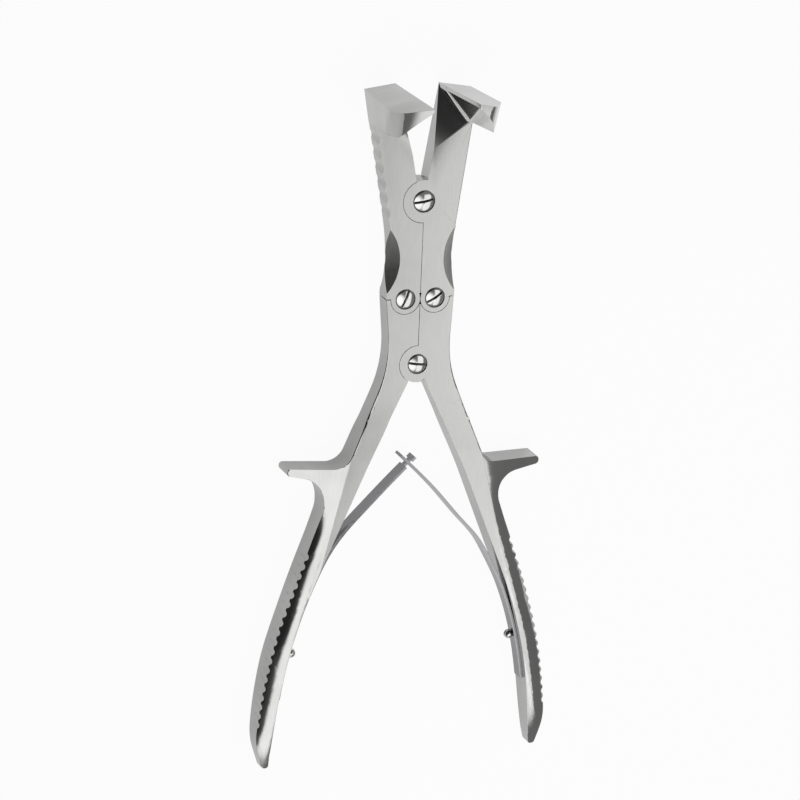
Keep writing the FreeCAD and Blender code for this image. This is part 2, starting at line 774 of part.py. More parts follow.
def build_pieces():
    """Returns every piece of the forceps by name, in the modelling frame."""
    return {
        "right_jaw": right_jaw(),
        "left_jaw": left_jaw(),
        "right_handle": right_handle(),
        "left_handle": left_handle(),
        "jaw_pivot_screw": pivot_screw(0, JAW_PIVOT_RISE, JAW_SCREW_HEAD_RADIUS, 8),
        "handle_pivot_screw": pivot_screw(0, 0, SCREW_HEAD_RADIUS, -9),
        "right_link_screw": pivot_screw(LINK_HALF_SPAN, LINK_RISE, SCREW_HEAD_RADIUS, 31),
        "left_link_screw": pivot_screw(-LINK_HALF_SPAN, LINK_RISE, SCREW_HEAD_RADIUS, 68),
        "right_spring": right_spring(),
        "left_spring": left_spring(),
        "right_spring_screw": spring_screw(RIGHT_HANDLE),
        "left_spring_screw": mirrored(spring_screw(LEFT_HANDLE)),
    }


def main():
    """Builds the pieces, stands them on the surface they lie on and writes them."""
    os.makedirs("parts", exist_ok=True)
    pieces = build_pieces()
    box = Part.makeCompound(list(pieces.values())).optimalBoundingBox()
    middle = Vector(-(box.XMin + box.XMax) / 2, -(box.YMin + box.YMax) / 2, -box.ZMin)
    middle = Vector(*[round(value, 2) for value in middle])
    for name, shape in pieces.items():
        shape.translate(middle)
        shape.exportStep("parts/" + name + ".step")
        print(name, len(shape.Solids), shape.isValid(), round(shape.Volume, 2))
    print("moved by", [round(value, 4) for value in middle], "box", box)


main()
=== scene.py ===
"""Bone cutting forceps: steel jaws and handles on four pivots, with two leaf springs.

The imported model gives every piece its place. This script refines the pieces' edges,
gives each its steel finish, and sets the camera, the pale floor and the studio light.
"""

from __future__ import annotations

import json
import logging
import math
from dataclasses import dataclass, field
from enum import Enum
from typing import Iterable

import bpy
from mathutils import Matrix, Vector

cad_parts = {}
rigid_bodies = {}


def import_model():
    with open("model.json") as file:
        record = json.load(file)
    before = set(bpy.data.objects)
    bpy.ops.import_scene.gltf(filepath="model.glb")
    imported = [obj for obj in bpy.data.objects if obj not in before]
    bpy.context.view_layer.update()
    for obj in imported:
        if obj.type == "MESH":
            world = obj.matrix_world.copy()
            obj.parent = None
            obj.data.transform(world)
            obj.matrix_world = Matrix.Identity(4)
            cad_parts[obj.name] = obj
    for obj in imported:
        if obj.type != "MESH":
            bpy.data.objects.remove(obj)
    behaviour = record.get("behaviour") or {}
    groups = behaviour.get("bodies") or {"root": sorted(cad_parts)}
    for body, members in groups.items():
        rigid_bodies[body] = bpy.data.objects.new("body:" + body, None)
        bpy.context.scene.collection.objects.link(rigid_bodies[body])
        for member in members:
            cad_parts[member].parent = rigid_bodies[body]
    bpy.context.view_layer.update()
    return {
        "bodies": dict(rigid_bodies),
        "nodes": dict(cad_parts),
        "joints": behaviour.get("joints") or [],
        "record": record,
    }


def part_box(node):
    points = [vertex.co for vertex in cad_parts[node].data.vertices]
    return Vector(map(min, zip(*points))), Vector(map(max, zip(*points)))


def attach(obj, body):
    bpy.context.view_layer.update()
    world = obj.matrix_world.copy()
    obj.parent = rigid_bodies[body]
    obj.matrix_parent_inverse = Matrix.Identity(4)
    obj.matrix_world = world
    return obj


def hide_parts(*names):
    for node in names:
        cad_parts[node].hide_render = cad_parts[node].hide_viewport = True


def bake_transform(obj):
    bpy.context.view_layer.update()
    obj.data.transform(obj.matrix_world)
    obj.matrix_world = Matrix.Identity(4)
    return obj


LOG = logging.getLogger("forceps")
MM = 0.001
# Noise rarely goes past these levels, so they stand for its darkest and lightest.
FINE_NOISE = (0.25, 0.75)
BROAD_NOISE = (0.3, 0.7)
# How strongly belt lines and tool marks bend the reflections.
MARK_STRENGTH = 0.6
# Where the two leaf springs cross, from the handle pivot.
SPRING_CROSSING_MM = Vector((-1.25, -41.35, 0.0))


class Side(Enum):
    """The tool's two halves, seen from its front."""

    LEFT = "left"
    RIGHT = "right"

    @property
    def sign(self) -> float:
        """Gives the side's direction along X."""
        return 1.0 if self is Side.RIGHT else -1.0


class Edge(Enum):
    """Which of a forging's front edges are eased by hand."""

    NONE = "none"
    OUTER = "outer"


def linear(hex_colour: str) -> tuple[float, float, float, float]:
    """Turns an sRGB hex colour into linear RGBA.

    Args:
        hex_colour: six hex digits, with or without a leading hash.

    Returns:
        The linear red, green and blue, and an alpha of 1.
    """
    digits = hex_colour.lstrip("#")
    parts = [int(digits[i : i + 2], 16) / 255 for i in (0, 2, 4)]
    red, green, blue = (p / 12.92 if p <= 0.04045 else ((p + 0.055) / 1.055) ** 2.4 for p in parts)
    return red, green, blue, 1.0


def add_node(
    tree: bpy.types.NodeTree,
    kind: str,
    links: dict[str | int, bpy.types.NodeSocket] | None = None,
    inputs: dict[str | int, object] | None = None,
    **settings: object,
) -> bpy.types.Node:
    """Adds a node with its settings, input values and incoming links.

    Args:
        tree: the node tree that gets the node.
        kind: the node's Blender type.
        links: input name or index to the output socket that feeds it.
        inputs: input name or index to its value.
        settings: the node's own properties.

    Returns:
        The new node.
    """
    node = tree.nodes.new(kind)
    for name, value in settings.items():
        setattr(node, name, value)
    for key, value in (inputs or {}).items():
        node.inputs[key].default_value = value
    for key, socket in (links or {}).items():
        tree.links.new(socket, node.inputs[key])
    return node


@dataclass(frozen=True)
class SatinAndBuffedSteel:
    """Martensitic stainless instrument steel, drop-forged and then ground.

    The flats are finished with a fine belt along the tool, so they look an even satin grey
    with faint lines. Every other face is buffed, so it mirrors the studio in hard light and
    dark bands, which the buff's soft ripple bends a little.
    """

    name: str = "satin_and_buffed_forged_steel"
    satin_hex: str = "C2C2C0"
    buffed_hex: str = "BCBCBB"
    satin_roughness: float = 0.34
    buffed_roughness: float = 0.12
    # A 240 grit belt leaves lines near 0.06 mm apart; they are drawn three times as wide to show.
    grain_mm: tuple[float, float] = (0.18, 7.0)
    grain_height_mm: float = 0.004
    ripple_mm: float = 9.0
    ripple_height_mm: float = 0.01
    cloud_mm: float = 22.0
    # Shares by which the belt lines and the clouds change the tone, and the clouds the gloss.
    grain_tone: tuple[float, float] = (0.93, 1.06)
    cloud_tone: tuple[float, float] = (0.88, 1.06)
    cloud_gloss: tuple[float, float] = (0.85, 1.18)
    # How upright a normal is where the belt's satin starts and is full.
    flat_upright: tuple[float, float] = (0.985, 0.998)
    # The belt follows the handle's neck down to this Y, over normals with this lean to the side.
    neck_ends_mm: tuple[float, float] = (-17.0, -14.0)
    neck_upright: tuple[float, float] = (0.91, 0.94)
    neck_sideways: tuple[float, float] = (0.05, 0.12)
    # The crease that parts each handle's flat from the crown of its finger rest.
    crease_middle_mm: float = 1.4
    crease_reach_mm: float = 24.35
    crease_lean: float = 0.25
    crease_width_mm: float = 0.3
    # The crown falls away from the crease ever more steeply, and fades out at the grip's end.
    crown_ends_mm: tuple[float, float] = (-139.0, -118.0)
    crown_slope: float = 0.11
    crown_bend: float = 14.0
    crown_bent_mm: float = 7.0
    # The left head's nose is rounded on towards its outer side.
    nose_start_mm: float = -11.0
    nose_over_mm: float = 30.0
    nose_bend: float = 13.0

    def build(self) -> bpy.types.Material:
        """Makes the node material.

        Returns:
            The material, named for the finish.
        """
        material = bpy.data.materials.new(self.name)
        material.use_nodes = True
        tree = material.node_tree
        tree.nodes.clear()
        coords = add_node(tree, "ShaderNodeTexCoord")
        spot = coords.outputs["Object"]
        place = add_node(tree, "ShaderNodeSeparateXYZ", {"Vector": spot})
        parts = add_node(tree, "ShaderNodeSeparateXYZ", {"Vector": coords.outputs["Normal"]})
        upright = add_node(tree, "ShaderNodeMath", {0: parts.outputs["Z"]}, operation="ABSOLUTE")
        level = add_node(
            tree,
            "ShaderNodeMapRange",
            {"Value": upright.outputs["Value"]},
            {"From Min": self.flat_upright[0], "From Max": self.flat_upright[1]},
        )
        ground_flat = add_node(
            tree,
            "ShaderNodeMath",
            {0: level.outputs["Result"], 1: self._neck(tree, place, parts, upright)},
            operation="MAXIMUM",
        )
        beyond = self._past_crease(tree, place)
        kept = add_node(
            tree,
            "ShaderNodeMapRange",
            {"Value": beyond},
            {"From Max": self.crease_width_mm * MM, "To Min": 1.0, "To Max": 0.0},
        )
        flat = add_node(
            tree,
            "ShaderNodeMath",
            {0: ground_flat.outputs["Value"], 1: kept.outputs["Result"]},
            operation="MULTIPLY",
        ).outputs["Value"]
        across, along = (1 / (size * MM) for size in self.grain_mm)
        stretched = add_node(
            tree, "ShaderNodeMapping", {"Vector": spot}, {"Scale": (across, along, across)}
        )
        grain = add_node(
            tree,
            "ShaderNodeTexNoise",
            {"Vector": stretched.outputs["Vector"]},
            {"Scale": 1.0, "Detail": 3.0, "Roughness": 0.6},
        )
        cloud = add_node(
            tree,
            "ShaderNodeTexNoise",
            {"Vector": spot},
            {"Scale": 1 / (self.cloud_mm * MM), "Detail": 2.0, "Roughness": 0.5},
        )
        ripple = add_node(
            tree,
            "ShaderNodeTexNoise",
            {"Vector": spot},
            {"Scale": 1 / (self.ripple_mm * MM), "Detail": 1.0, "Roughness": 0.4},
        )
        ground = add_node(
            tree,
            "ShaderNodeMapRange",
            {"Value": grain.outputs["Fac"]},
            {
                "From Min": FINE_NOISE[0],
                "From Max": FINE_NOISE[1],
                "To Min": self.grain_tone[0],
                "To Max": self.grain_tone[1],
            },
        )
        tone = add_node(
            tree,
            "ShaderNodeMix",
            {0: flat},
            {6: linear(self.buffed_hex), 7: linear(self.satin_hex)},
            data_type="RGBA",
        )
        shaded = add_node(
            tree,
            "ShaderNodeMapRange",
            {"Value": cloud.outputs["Fac"]},
            {
                "From Min": BROAD_NOISE[0],
                "From Max": BROAD_NOISE[1],
                "To Min": self.cloud_tone[0],
                "To Max": self.cloud_tone[1],
            },
        )
        both = add_node(
            tree,
            "ShaderNodeMath",
            {0: ground.outputs["Result"], 1: shaded.outputs["Result"]},
            operation="MULTIPLY",
        )
        lined = add_node(
            tree,
            "ShaderNodeVectorMath",
            {0: tone.outputs[2], "Scale": both.outputs["Value"]},
            operation="SCALE",
        )
        smooth = add_node(
            tree,
            "ShaderNodeMapRange",
            {"Value": flat},
            {"To Min": self.buffed_roughness, "To Max": self.satin_roughness},
        )
        varied = add_node(
            tree,
            "ShaderNodeMapRange",
            {"Value": cloud.outputs["Fac"]},
            {
                "From Min": BROAD_NOISE[0],
                "From Max": BROAD_NOISE[1],
                "To Min": self.cloud_gloss[0],
                "To Max": self.cloud_gloss[1],
            },
        )
        rough = add_node(
            tree,
            "ShaderNodeMath",
            {0: smooth.outputs["Result"], 1: varied.outputs["Result"]},
            operation="MULTIPLY",
        )
        waves = add_node(
            tree,
            "ShaderNodeBump",
            {
                "Height": ripple.outputs["Fac"],
                "Normal": self._rounding(tree, beyond, self._past_nose(tree, place)),
            },
            {"Strength": 1.0, "Distance": self.ripple_height_mm * MM},
        )
        height = add_node(
            tree,
            "ShaderNodeMath",
            {0: grain.outputs["Fac"], 1: flat},
            operation="MULTIPLY",
        )
        lines = add_node(
            tree,
            "ShaderNodeBump",
            {"Height": height.outputs["Value"], "Normal": waves.outputs["Normal"]},
            {"Strength": MARK_STRENGTH, "Distance": self.grain_height_mm * MM},
        )
        shader = add_node(
            tree,
            "ShaderNodeBsdfPrincipled",
            {
                "Base Color": lined.outputs["Vector"],
                "Roughness": rough.outputs["Value"],
                "Normal": lines.outputs["Normal"],
            },
            {"Metallic": 1.0},
        )
        add_node(tree, "ShaderNodeOutputMaterial", {"Surface": shader.outputs["BSDF"]})
        return material

    def _rounding(
        self,
        tree: bpy.types.NodeTree,
        beyond: bpy.types.NodeSocket,
        past_nose: bpy.types.NodeSocket,
    ) -> bpy.types.NodeSocket:
        """Turns the normals of the handles' crowns and of the left head's nose.

        Args:
            tree: the material's tree.
            beyond: how far the point is past the crease.
            past_nose: how far it is past the nose's straight part, squared.

        Returns:
            The socket with the turned normal.
        """
        bent = add_node(
            tree,
            "ShaderNodeMath",
            {0: beyond},
            {1: self.crown_bent_mm * MM},
            operation="MINIMUM",
        )
        doubled = add_node(
            tree,
            "ShaderNodeMath",
            {0: beyond, 2: bent.outputs["Value"]},
            {1: 2.0},
            operation="MULTIPLY_ADD",
        )
        reach = add_node(
            tree,
            "ShaderNodeMath",
            {0: doubled.outputs["Value"], 1: bent.outputs["Value"]},
            operation="SUBTRACT",
        )
        twice = add_node(
            tree,
            "ShaderNodeMath",
            {0: reach.outputs["Value"], 1: bent.outputs["Value"]},
            operation="SUBTRACT",
        )
        curve = add_node(
            tree,
            "ShaderNodeMath",
            {0: twice.outputs["Value"], 1: bent.outputs["Value"]},
            operation="MULTIPLY",
        )
        slope = add_node(
            tree,
            "ShaderNodeMath",
            {0: beyond},
            {1: self.crown_slope},
            operation="MULTIPLY",
        )
        fall = add_node(
            tree,
            "ShaderNodeMath",
            {0: curve.outputs["Value"], 2: slope.outputs["Value"]},
            {1: self.crown_bend},
            operation="MULTIPLY_ADD",
        )
        crown = add_node(
            tree,
            "ShaderNodeBump",
            {"Height": fall.outputs["Value"]},
            {"Strength": 1.0, "Distance": 1.0},
            invert=True,
        )
        return add_node(
            tree,
            "ShaderNodeBump",
            {"Height": past_nose, "Normal": crown.outputs["Normal"]},
            {"Strength": 1.0, "Distance": self.nose_bend},
            invert=True,
        ).outputs["Normal"]

    def _past_nose(self, tree: bpy.types.NodeTree, place: bpy.types.Node) -> bpy.types.NodeSocket:
        """Measures how far a point of the left head's nose is past its straight part.

        Args:
            tree: the material's tree.
            place: the point's X, Y and Z.

        Returns:
            The socket with that distance squared, in square metres, and 0 elsewhere.
        """
        past = add_node(
            tree,
            "ShaderNodeMath",
            {1: place.outputs["X"]},
            {0: self.nose_start_mm * MM},
            operation="SUBTRACT",
        )
        outside = add_node(
            tree,
            "ShaderNodeMath",
            {0: past.outputs["Value"]},
            {1: 0.0},
            operation="MAXIMUM",
        )
        squared = add_node(
            tree,
            "ShaderNodeMath",
            {0: outside.outputs["Value"]},
            {1: 2.0},
            operation="POWER",
        )
        high = add_node(
            tree,
            "ShaderNodeMath",
            {0: place.outputs["Z"]},
            {1: self.nose_over_mm * MM},
            operation="GREATER_THAN",
        )
        return add_node(
            tree,
            "ShaderNodeMath",
            {0: squared.outputs["Value"], 1: high.outputs["Value"]},
            operation="MULTIPLY",
        ).outputs["Value"]

    def _past_crease(self, tree: bpy.types.NodeTree, place: bpy.types.Node) -> bpy.types.NodeSocket:
        """Measures how far a point is past the crease, out towards the finger rest.

        Args:
            tree: the material's tree.
            place: the point's X, Y and Z.

        Returns:
            The socket with that distance in metres, 0 inside the crease and low on the grip.
        """
        off = add_node(
            tree,
            "ShaderNodeMath",
            {0: place.outputs["X"]},
            {1: self.crease_middle_mm * MM},
            operation="SUBTRACT",
        )
        aside = add_node(tree, "ShaderNodeMath", {0: off.outputs["Value"]}, operation="ABSOLUTE")
        leaned = add_node(
            tree,
            "ShaderNodeMath",
            {0: place.outputs["Y"], 2: aside.outputs["Value"]},
            {1: self.crease_lean},
            operation="MULTIPLY_ADD",
        )
        past = add_node(
            tree,
            "ShaderNodeMath",
            {0: leaned.outputs["Value"]},
            {1: self.crease_reach_mm * MM},
            operation="SUBTRACT",
        )
        outside = add_node(
            tree,
            "ShaderNodeMath",
            {0: past.outputs["Value"]},
            {1: 0.0},
            operation="MAXIMUM",
        )
        low, high = (value * MM for value in self.crown_ends_mm)
        fade = add_node(
            tree,
            "ShaderNodeMapRange",
            {"Value": place.outputs["Y"]},
            {"From Min": low, "From Max": high},
            interpolation_type="SMOOTHSTEP",
        )
        handle = add_node(
            tree, "ShaderNodeMath", {0: place.outputs["Y"]}, {1: 0.0}, operation="LESS_THAN"
        )
        faded = add_node(
            tree,
            "ShaderNodeMath",
            {0: outside.outputs["Value"], 1: fade.outputs["Result"]},
            operation="MULTIPLY",
        )
        return add_node(
            tree,
            "ShaderNodeMath",
            {0: faded.outputs["Value"], 1: handle.outputs["Value"]},
            operation="MULTIPLY",
        ).outputs["Value"]

    def _neck(
        self,
        tree: bpy.types.NodeTree,
        place: bpy.types.Node,
        parts: bpy.types.Node,
        upright: bpy.types.Node,
    ) -> bpy.types.NodeSocket:
        """Finds the neck's front and back, which the belt follows where they slope up or down.

        Args:
            tree: the material's tree.
            place: the point's X, Y and Z.
            parts: the normal's three parts.
            upright: how far the normal looks to the front or back.

        Returns:
            The socket that gives 1 on those faces.
        """
        foot, full = (value * MM for value in self.neck_ends_mm)
        above = add_node(
            tree,
            "ShaderNodeMapRange",
            {"Value": place.outputs["Y"]},
            {"From Min": foot, "From Max": full},
        )
        sideways = add_node(tree, "ShaderNodeMath", {0: parts.outputs["X"]}, operation="ABSOLUTE")
        straight = add_node(
            tree,
            "ShaderNodeMapRange",
            {"Value": sideways.outputs["Value"]},
            {
                "From Min": self.neck_sideways[0],
                "From Max": self.neck_sideways[1],
                "To Min": 1.0,
                "To Max": 0.0,
            },
        )
        facing = add_node(
            tree,
            "ShaderNodeMapRange",
            {"Value": upright.outputs["Value"]},
            {"From Min": self.neck_upright[0], "From Max": self.neck_upright[1]},
        )
        both = add_node(
            tree,
            "ShaderNodeMath",
            {0: above.outputs["Result"], 1: straight.outputs["Result"]},
            operation="MULTIPLY",
        )
        return add_node(
            tree,
            "ShaderNodeMath",
            {0: both.outputs["Value"], 1: facing.outputs["Result"]},
            operation="MULTIPLY",
        ).outputs["Value"]


@dataclass(frozen=True)
class PlainSteel:
    """Stainless steel with one finish all over, such as turned, rolled or wheel-ground.

    A fine stretched noise stands for the tool marks. It makes the gloss streaky, and a low
    bump of the same noise keeps a reflection from looking like a mirror of glass.
    """

    name: str
    colour_hex: str
    roughness: float
    # Sizes of the marks along X, Y and Z. Real ones are 0.02 to 0.05 mm, too fine to show.
    marks_mm: tuple[float, float, float]
    marks_height_mm: float
    # The marks darken and lighten the steel, and dull and gloss it, by these shares.
    tone_spread: tuple[float, float] = (0.88, 1.1)
    gloss_spread: tuple[float, float] = (0.8, 1.25)

    def build(self) -> bpy.types.Material:
        """Makes the node material.

        Returns:
            The material, named for the finish.
        """
        material = bpy.data.materials.new(self.name)
        material.use_nodes = True
        tree = material.node_tree
        tree.nodes.clear()
        coords = add_node(tree, "ShaderNodeTexCoord")
        stretched = add_node(
            tree,
            "ShaderNodeMapping",
            {"Vector": coords.outputs["Object"]},
            {"Scale": tuple(1 / (size * MM) for size in self.marks_mm)},
        )
        marks = add_node(
            tree,
            "ShaderNodeTexNoise",
            {"Vector": stretched.outputs["Vector"]},
            {"Scale": 1.0, "Detail": 2.0, "Roughness": 0.55},
        )
        rough = add_node(
            tree,
            "ShaderNodeMapRange",
            {"Value": marks.outputs["Fac"]},
            {
                "From Min": FINE_NOISE[0],
                "From Max": FINE_NOISE[1],
                "To Min": self.roughness * self.gloss_spread[0],
                "To Max": self.roughness * self.gloss_spread[1],
            },
        )
        dark, light = (
            tuple(part * share for part in linear(self.colour_hex)[:3]) + (1.0,)
            for share in self.tone_spread
        )
        tone = add_node(
            tree,
            "ShaderNodeMix",
            {0: marks.outputs["Fac"]},
            {6: dark, 7: light},
            data_type="RGBA",
        )
        bump = add_node(
            tree,
            "ShaderNodeBump",
            {"Height": marks.outputs["Fac"]},
            {"Strength": MARK_STRENGTH, "Distance": self.marks_height_mm * MM},
        )
        shader = add_node(
            tree,
            "ShaderNodeBsdfPrincipled",
            {
                "Base Color": tone.outputs[2],
                "Roughness": rough.outputs["Result"],
                "Normal": bump.outputs["Normal"],
            },
            {"Metallic": 1.0},
        )
        add_node(tree, "ShaderNodeOutputMaterial", {"Surface": shader.outputs["BSDF"]})
        return material


# The forgings' belted flats read as even satin, and their buffed walls as hard dark and light.
FORGED_STEEL = SatinAndBuffedSteel()
# Screw heads are turned on a lathe and polished, so each dome mirrors lamp and dark corner.
SCREW_STEEL = PlainSteel("turned_and_polished_screw_steel", "CFCFCE", 0.11, (0.7, 0.7, 0.7), 0.002)
# Scallops and the crotch are cut with a wheel and left dull, so they mirror nothing sharply. Their
# darker colour is painted shade for the shade in these hollows.
RECESS_STEEL_WITH_PAINTED_SHADE = PlainSteel("wheel_ground_recess_steel_with_painted_shade", "A2A2A0", 0.42, (0.25, 3.0, 0.25), 0.004)
# A slot is milled, deep and narrow, and mirrors only its own walls. Its near-black colour is
# painted shade for the shadow down in it, so it reads as a black line.
SLOT_PAINTED_SHADE_STEEL = PlainSteel("milled_screw_slot_painted_shade", "2A2A2A", 0.5, (0.3, 0.3, 0.3), 0.003)
# The leaves are hardened strip, rolled and polished, so they are glossy. Their darker colour is
# painted shade, for the shade they lie in between the handles.
SPRING_STEEL_WITH_PAINTED_SHADE = PlainSteel("rolled_spring_strip_steel_with_painted_shade", "8E8E90", 0.15, (2.0, 2.0, 0.3), 0.003)


def select_only(obj: bpy.types.Object) -> None:
    """Makes obj the one selected and active object.

    Args:
        obj: the object to select.
    """
    bpy.ops.object.select_all(action="DESELECT")
    obj.select_set(True)
    bpy.context.view_layer.objects.active = obj


def unshaded_copy(node: bpy.types.Object, name: str, flat_degrees: float) -> bpy.types.Object:
    """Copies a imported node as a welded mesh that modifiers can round.

    Args:
        node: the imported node.
        name: the new piece's name.
        flat_degrees: faces closer than this in angle become one, or none if 0.

    Returns:
        The copy, with no parent, at the origin.
    """
    weld_mm, speck_mm = 0.002, 0.005
    mesh = node.data.copy()
    piece = bpy.data.objects.new(name, mesh)
    bpy.context.scene.collection.objects.link(piece)
    mesh.materials.clear()
    select_only(piece)
    bpy.ops.object.mode_set(mode="EDIT")
    bpy.ops.mesh.select_all(action="SELECT")
    bpy.ops.mesh.customdata_custom_splitnormals_clear()
    bpy.ops.mesh.remove_doubles(threshold=weld_mm * MM)
    bpy.ops.mesh.dissolve_degenerate(threshold=speck_mm * MM)
    if flat_degrees > 0:
        bpy.ops.mesh.select_all(action="SELECT")
        bpy.ops.mesh.dissolve_limited(angle_limit=math.radians(flat_degrees))
    bpy.ops.object.mode_set(mode="OBJECT")
    return piece


def add_bevel(piece: bpy.types.Object, width_mm: float, segments: int) -> bpy.types.BevelModifier:
    """Adds a rounding modifier that isn't applied yet.

    Args:
        piece: the piece.
        width_mm: how wide each rounding is.
        segments: faces across each rounding.

    Returns:
        The modifier.
    """
    select_only(piece)
    bevel = piece.modifiers.new("rounded_edges", "BEVEL")
    bevel.width = width_mm * MM
    bevel.segments = segments
    bevel.use_clamp_overlap = False
    bevel.miter_outer = "MITER_ARC"
    return bevel


def ease_edges(
    piece: bpy.types.Object,
    side: Side,
    rise: tuple[float, float, float, float],
    width_mm: float,
) -> int:
    """Eases the front edges between a forging's flat and its outer wall, as a file leaves them.

    Args:
        piece: the piece.
        side: the tool's half that the piece is on.
        rise: the Y, in millimetres, where the easing starts, is full, is full still, and ends.
        width_mm: how wide each easing is.

    Returns:
        How many edges were eased.
    """
    flat_least, wall_most, outward_least, front_least_mm = 0.97, 0.3, 0.3, 9.0
    mesh = piece.data
    normals: dict[tuple[int, int], list[Vector]] = {}
    for face in mesh.polygons:
        for key in face.edge_keys:
            normals.setdefault(key, []).append(face.normal.copy())
    weights = mesh.attributes.new("bevel_weight_edge", "FLOAT", "EDGE")
    start, full, full_still, stop = (value * MM for value in rise)
    count = 0
    for line in mesh.edges:
        pair = sorted(normals[tuple(sorted(line.vertices))], key=lambda normal: -normal.z)
        if len(pair) != 2:
            continue
        flat, wall = pair
        middle = (mesh.vertices[line.vertices[0]].co + mesh.vertices[line.vertices[1]].co) / 2
        if flat.z < flat_least or abs(wall.z) > wall_most or middle.z < front_least_mm * MM:
            continue
        rising = (middle.y - start) / (full - start)
        falling = (stop - middle.y) / (stop - full_still)
        share = min(rising, falling, 1.0)
        if share > 0 and wall.x * side.sign > outward_least:
            weights.data[line.index].value = share
            count += 1
    bevel = add_bevel(piece, width_mm, 3)
    bevel.limit_method = "WEIGHT"
    bpy.ops.object.modifier_apply(modifier=bevel.name)
    return count


def round_edges(piece: bpy.types.Object, width_mm: float, over_degrees: float) -> None:
    """Rounds a piece's sharp edges and smooths its curved faces.

    Args:
        piece: the piece.
        width_mm: how wide each rounding is.
        over_degrees: edges sharper than this are rounded.
    """
    smooth_under_degrees, by_area_only = 28.0, 100
    bevel = add_bevel(piece, width_mm, 2)
    bevel.limit_method = "ANGLE"
    bevel.angle_limit = math.radians(over_degrees)
    bpy.ops.object.modifier_apply(modifier=bevel.name)
    bpy.ops.object.shade_smooth_by_angle(angle=math.radians(smooth_under_degrees))
    weighted = piece.modifiers.new("flat_faces_stay_flat", "WEIGHTED_NORMAL")
    weighted.keep_sharp = True
    weighted.weight = by_area_only
    bpy.ops.object.modifier_apply(modifier=weighted.name)


def calm_neck(
    piece: bpy.types.Object, foot_mm: float, top_mm: float, slope_degrees: float
) -> None:
    """Lets a handle's flats turn evenly from the lug's level into the neck's slope.

    Args:
        piece: the handle.
        foot_mm: the Y where the slope is full.
        top_mm: the Y where it starts.
        slope_degrees: the neck's slope.
    """
    facing_least, sideways_most = 0.9, 0.1
    mesh = piece.data
    normals = [corner.vector.copy() for corner in mesh.corner_normals]
    for face in mesh.polygons:
        if abs(face.normal.z) < facing_least or abs(face.normal.x) > sideways_most:
            continue
        for loop in face.loop_indices:
            rise = mesh.vertices[mesh.loops[loop].vertex_index].co.y / MM
            share = min(max((top_mm - rise) / (top_mm - foot_mm), 0.0), 1.0)
            if rise > foot_mm:
                tilt = math.radians(slope_degrees) * share * share * (3 - 2 * share)
                facing = math.copysign(math.cos(tilt), face.normal.z)
                normals[loop] = Vector((0.0, math.sin(tilt), facing))
    mesh.normals_split_custom_set([tuple(normal) for normal in normals])


@dataclass
class SteelPiece:
    """One piece of the tool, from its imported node, with rounded edges and a finish."""

    node: str
    body: str
    slot: str
    edge_mm: float = 0.08
    over_degrees: float = 32.0
    flat_degrees: float = 0.4

    def shape(self, frame: dict) -> bpy.types.Object:
        """Copies the node and rounds its edges.


        Returns:
            The piece, still without a finish.
        """
        piece = unshaded_copy(frame["nodes"][self.node], f"{self.node}_finished", self.flat_degrees)
        self.ease(piece)
        round_edges(piece, self.edge_mm, self.over_degrees)
        self.smooth(piece)
        return piece

    def ease(self, piece: bpy.types.Object) -> None:
        """Leaves a turned piece's edges as they are."""

    def smooth(self, piece: bpy.types.Object) -> None:
        """Leaves a turned piece's shading as it is."""

    def in_recess(self, face: bpy.types.MeshPolygon) -> bool:
        """Says that a plain piece has no recess."""
        return False

    def make(
        self, frame: dict, finish: bpy.types.Material, recess: bpy.types.Material
    ) -> bpy.types.Object:
        """Makes the piece and puts it in its node's place.

        Args:
            finish: the finish of its outside.
            recess: the finish of its hollows, darker with painted shade.

        Returns:
            The finished piece.
        """
        piece = self.shape(frame)
        piece.data.materials.append(finish)
        piece.data.materials.append(recess)
        # Faces in a hollow get the second finish, whose darker colour is painted shade.
        for face in piece.data.polygons:
            face.material_index = int(self.in_recess(face))
        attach(piece, self.body)
        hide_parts(self.node)
        LOG.info("%s: %d faces", piece.name, len(piece.data.polygons))
        return piece


@dataclass
class Forging(SteelPiece):
    """A jaw or a handle: flat plate, walls, and a thumb scallop on each jaw's shank."""

    side: Side = Side.LEFT
    eased: Edge = Edge.NONE
    eased_rise_mm: tuple[float, float, float, float] = (0.0, 0.0, 0.0, 0.0)
    eased_mm: float = 0.8
    # The stretch of the Y axis that holds the scallop and the crotch, and where the latter is.
    recess_rise_mm: tuple[float, float] = (0.0, 0.0)
    scallop_sideways: tuple[float, float] = (0.45, 0.8)
    scallop_facing: tuple[float, float] = (0.6, 0.88)
    crotch_upward: float = 0.3
    crotch_rise_mm: float = 78.0
    crotch_reach_mm: float = 6.0
    # A handle's neck thickens from the second Y to the first, by this slope.
    neck_mm: tuple[float, float] = (-13.0, 17.0)
    neck_degrees: float = 3.2

    def ease(self, piece: bpy.types.Object) -> None:
        """Eases the front edges that a hand meets.

        Args:
            piece: the forging.
        """
        if self.eased is not Edge.NONE:
            count = ease_edges(piece, self.side, self.eased_rise_mm, self.eased_mm)
            LOG.info("%s: %d edges eased", piece.name, count)

    def smooth(self, piece: bpy.types.Object) -> None:
        """Evens a handle's flats where its neck thickens.

        Args:
            piece: the forging.
        """
        if self.slot == "handle_steel":
            calm_neck(piece, *self.neck_mm, self.neck_degrees)

    def in_recess(self, face: bpy.types.MeshPolygon) -> bool:
        """Says whether a face is in the thumb scallop or down in the crotch between the jaws.

        Args:
            face: a face of the forging.

        Returns:
            True in either.
        """
        # The faces picked here get the recess finish, whose darker colour is partly painted shade.
        low, high = (value * MM for value in self.recess_rise_mm)
        least_x, most_x = self.scallop_sideways
        least_z, most_z = self.scallop_facing
        normal, centre = face.normal, face.center
        scallop = least_x < abs(normal.x) < most_x and least_z < abs(normal.z) < most_z
        crotch = (
            normal.y > self.crotch_upward
            and centre.y > self.crotch_rise_mm * MM
            and abs(centre.x) < self.crotch_reach_mm * MM
        )
        return low < centre.y < high and (scallop or crotch)


